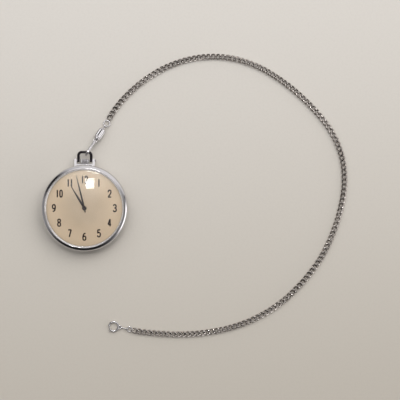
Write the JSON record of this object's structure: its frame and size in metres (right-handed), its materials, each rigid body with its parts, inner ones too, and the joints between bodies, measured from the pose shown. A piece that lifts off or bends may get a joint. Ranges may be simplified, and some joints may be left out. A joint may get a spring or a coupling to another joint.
{
  "type": "pocket watch",
  "caption": "Open-face pocket watch with a domed crystal, plain numbered dial, stirrup bow and crown, on a curb chain with a swivel clasp and a bolt ring.",
  "frame": {"origin": "middle of the case back's flat face, which rests on the table", "axes": "+Z out of the dial, +Y to 12 o'clock where the crown and bow are, +X to 3 o'clock"},
  "size_m": [0.1583, 0.1468, 0.0102],
  "materials": {
    "chrome_case": "polished",
    "steel": "satin",
    "brass": "polished",
    "nickel": "satin",
    "blued_steel": "polished",
    "crystal_glass": "clear",
    "dial_cream": "satin",
    "hand_black": "satin"
  },
  "bodies": {
    "case": {"case_middle": "chrome_case", "case_back": "chrome_case", "bezel": "chrome_case", "crystal": "crystal_glass", "pendant": "chrome_case", "bow_screw_left": "steel", "bow_screw_right": "steel", "mainplate": "nickel", "barrel_bridge": "nickel", "train_bridge": "nickel", "balance_cock": "nickel", "barrel_bridge_1_screw": "blued_steel", "barrel_bridge_2_screw": "blued_steel", "train_bridge_1_screw": "blued_steel", "train_bridge_2_screw": "blued_steel", "balance_cock_1_screw": "blued_steel", "balance_cock_2_screw": "blued_steel", "crown_wheel_screw": "blued_steel", "movement_ring": "steel", "dial": "dial_cream", "chain": "steel", "end_ring": "chrome_case", "end_link": "chrome_case", "bolt_ring": "chrome_case"},
    "bow": {"bow": "chrome_case", "clasp_hook": "chrome_case", "clasp_gate_pin": "steel"},
    "gate": {"clasp_gate": "chrome_case"},
    "swivel": {"swivel_barrel": "chrome_case", "jump_ring": "chrome_case"},
    "bolt_slide": {"bolt_trigger": "chrome_case"},
    "winding": {"winding_pinion": "steel"},
    "crown": {"crown": "chrome_case", "stem": "steel"},
    "crown_wheel": {"crown_wheel": "steel"},
    "ratchet": {"ratchet_wheel": "steel", "barrel_arbor": "steel"},
    "click": {"click": "steel"},
    "barrel": {"barrel": "brass", "barrel_cover": "brass", "mainspring": "steel"},
    "centre": {"centre_wheel": "brass"},
    "hands": {"cannon_pinion": "steel", "minute_hand": "hand_black"},
    "motion": {"minute_wheel": "brass"},
    "hour": {"hour_wheel": "brass", "hour_hand": "hand_black"},
    "third": {"third_wheel": "brass"},
    "fourth": {"fourth_wheel": "brass"},
    "escape": {"escape_wheel": "steel"},
    "pallet": {"pallet_fork": "steel"},
    "balance": {"balance": "brass", "hairspring": "blued_steel"}
  },
  "joints": [
    {"name": "bow_swing", "type": "hinge", "parent": "case", "child": "bow", "pos_m": [0, 0.02465, 0.0043], "axis": [1, 0, 0], "range_deg": [-90, 90]},
    {"name": "gate_open", "type": "hinge", "parent": "bow", "child": "gate", "pos_m": [0.00521, 0.03467, 0.00272], "axis": [-0.8425, 0.5388, 0], "range_deg": [0, 20], "stiffness_Nm_per_rad": 0.001, "springref_deg": -11.46},
    {"name": "swivel_turn", "type": "hinge", "parent": "bow", "child": "swivel", "pos_m": [0.00155, 0.02895, 0.0043], "axis": [0.5327, 0.833, -0.1495], "continuous": true},
    {"name": "bolt_draw", "type": "hinge", "parent": "case", "child": "bolt_slide", "pos_m": [0.0147, -0.0616, 0.0009], "axis": [0, 0, 1], "range_deg": [0, 35], "stiffness_Nm_per_rad": 0.0005, "springref_deg": -11.46},
    {"name": "crown_turn", "type": "hinge", "parent": "case", "child": "winding", "pos_m": [0, 0.01066, 0.0043], "axis": [0, 1, 0], "continuous": true},
    {"name": "crown_pull", "type": "slide", "parent": "winding", "child": "crown", "axis": [0, 1, 0], "range_m": [0, 0.0008]},
    {"name": "crown_wheel_turn", "type": "hinge", "parent": "case", "child": "crown_wheel", "pos_m": [0, 0.00736, 0.0015], "axis": [0, 0, 1], "continuous": true},
    {"name": "ratchet_turn", "type": "hinge", "parent": "case", "child": "ratchet", "pos_m": [-0.00693, 0.004, 0.0015], "axis": [0, 0, 1], "continuous": true},
    {"name": "click_rock", "type": "hinge", "parent": "case", "child": "click", "pos_m": [-0.01196, 0.00165, 0.0015], "axis": [0, 0, 1], "range_deg": [0, 10], "stiffness_Nm_per_rad": 0.00005, "springref_deg": -5.73},
    {"name": "minute_hand_turn", "type": "hinge", "parent": "case", "child": "hands", "pos_m": [0, 0, 0.006], "axis": [0, 0, -1], "continuous": true},
    {"name": "centre_wheel_turn", "type": "hinge", "parent": "case", "child": "centre", "pos_m": [0, 0, 0.003], "axis": [0, 0, -1], "continuous": true},
    {"name": "hour_hand_turn", "type": "hinge", "parent": "case", "child": "hour", "pos_m": [0, 0, 0.0064], "axis": [0, 0, -1], "continuous": true},
    {"name": "minute_wheel_turn", "type": "hinge", "parent": "case", "child": "motion", "pos_m": [0.0017, -0.00294, 0.006], "axis": [0, 0, -1], "continuous": true},
    {"name": "barrel_turn", "type": "hinge", "parent": "case", "child": "barrel", "pos_m": [-0.00693, 0.004, 0.0036], "axis": [0, 0, -1], "continuous": true},
    {"name": "third_wheel_turn", "type": "hinge", "parent": "case", "child": "third", "pos_m": [0.00555, 0.00202, 0.0038], "axis": [0, 0, -1], "continuous": true},
    {"name": "fourth_wheel_turn", "type": "hinge", "parent": "case", "child": "fourth", "pos_m": [0.00729, -0.00277, 0.0034], "axis": [0, 0, -1], "continuous": true},
    {"name": "escape_wheel_turn", "type": "hinge", "parent": "case", "child": "escape", "pos_m": [0.00647, -0.00743, 0.0036], "axis": [0, 0, -1], "continuous": true},
    {"name": "pallet_rock", "type": "hinge", "parent": "case", "child": "pallet", "pos_m": [0.00352, -0.00796, 0.0039], "axis": [0, 0, -1], "range_deg": [-5, 5]},
    {"name": "balance_swing", "type": "hinge", "parent": "case", "child": "balance", "pos_m": [-0.0022, -0.009, 0.0035], "axis": [0, 0, -1], "range_deg": [-270, 270], "stiffness_Nm_per_rad": 0.000002, "deforming": ["hairspring"]}
  ],
  "couplings": [
    {"joint": "crown_wheel_turn", "follows": "crown_turn", "ratio": 0.66667},
    {"joint": "ratchet_turn", "follows": "crown_turn", "ratio": -0.5},
    {"joint": "hour_hand_turn", "follows": "minute_hand_turn", "ratio": 0.083333},
    {"joint": "minute_wheel_turn", "follows": "minute_hand_turn", "ratio": -0.33333},
    {"joint": "third_wheel_turn", "follows": "fourth_wheel_turn", "ratio": -0.13333},
    {"joint": "centre_wheel_turn", "follows": "fourth_wheel_turn", "ratio": 0.016667},
    {"joint": "barrel_turn", "follows": "fourth_wheel_turn", "ratio": -0.002381},
    {"joint": "escape_wheel_turn", "follows": "fourth_wheel_turn", "ratio": -8}
  ]
}
